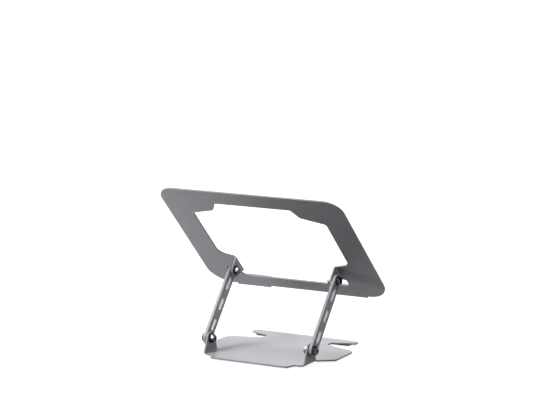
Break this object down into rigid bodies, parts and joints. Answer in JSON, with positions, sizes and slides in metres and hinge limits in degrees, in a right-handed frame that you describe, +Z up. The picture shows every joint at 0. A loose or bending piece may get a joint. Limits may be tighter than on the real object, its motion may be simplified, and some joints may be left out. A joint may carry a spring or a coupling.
{
  "type": "folding laptop stand",
  "caption": "Folding stand of two stamped metal sheets joined by slotted arms on friction hinges, with front stops, cushions and feet.",
  "frame": {"origin": "on the table, midway between the foremost and rearmost points and on the plane of symmetry, in the pose of the picture", "axes": "+Z up, +Y to the rear where the top plate is high, +X to the right of the person at the keyboard; mirror plane X = 0"},
  "size_m": [0.2604, 0.17, 0.22],
  "materials": {
    "base_plate": "satin silver coating",
    "top_plate": "satin silver coating",
    "arms": "satin silver coating",
    "bolts": "bright plated",
    "nuts": "bright plated",
    "washers": "matte",
    "cushions": "matte",
    "feet": "matte"
  },
  "bodies": {
    "base": {"base_plate": "base_plate", "bolt_lower_left": "bolts", "bolt_lower_right": "bolts", "foot_front_left": "feet", "foot_front_right": "feet", "foot_rear_left": "feet", "foot_rear_right": "feet", "foot_side_left": "feet", "foot_side_right": "feet", "friction_washer_lower_left": "washers", "friction_washer_lower_right": "washers", "head_washer_lower_left": "washers", "head_washer_lower_right": "washers", "lock_nut_lower_left": "nuts", "lock_nut_lower_right": "nuts", "nut_washer_lower_left": "washers", "nut_washer_lower_right": "washers"},
    "arms": {"arm_left": "arms", "arm_right": "arms"},
    "tray": {"bolt_upper_left": "bolts", "bolt_upper_right": "bolts", "cushion_front_left": "cushions", "cushion_front_right": "cushions", "cushion_rear_left": "cushions", "cushion_rear_right": "cushions", "friction_washer_upper_left": "washers", "friction_washer_upper_right": "washers", "head_washer_upper_left": "washers", "head_washer_upper_right": "washers", "lock_nut_upper_left": "nuts", "lock_nut_upper_right": "nuts", "nut_washer_upper_left": "washers", "nut_washer_upper_right": "washers", "stop_liner_left": "cushions", "stop_liner_right": "cushions", "top_plate": "top_plate"}
  },
  "joints": [
    {"name": "lower_hinge", "type": "hinge", "parent": "base", "child": "arms", "pos_m": [0, 0.0472, 0.0204], "axis": [1, 0, 0], "range_deg": [-40, 20]},
    {"name": "upper_hinge", "type": "hinge", "parent": "arms", "child": "tray", "pos_m": [0, -0.01912, 0.0975], "axis": [1, 0, 0], "range_deg": [-48, 30]}
  ]
}
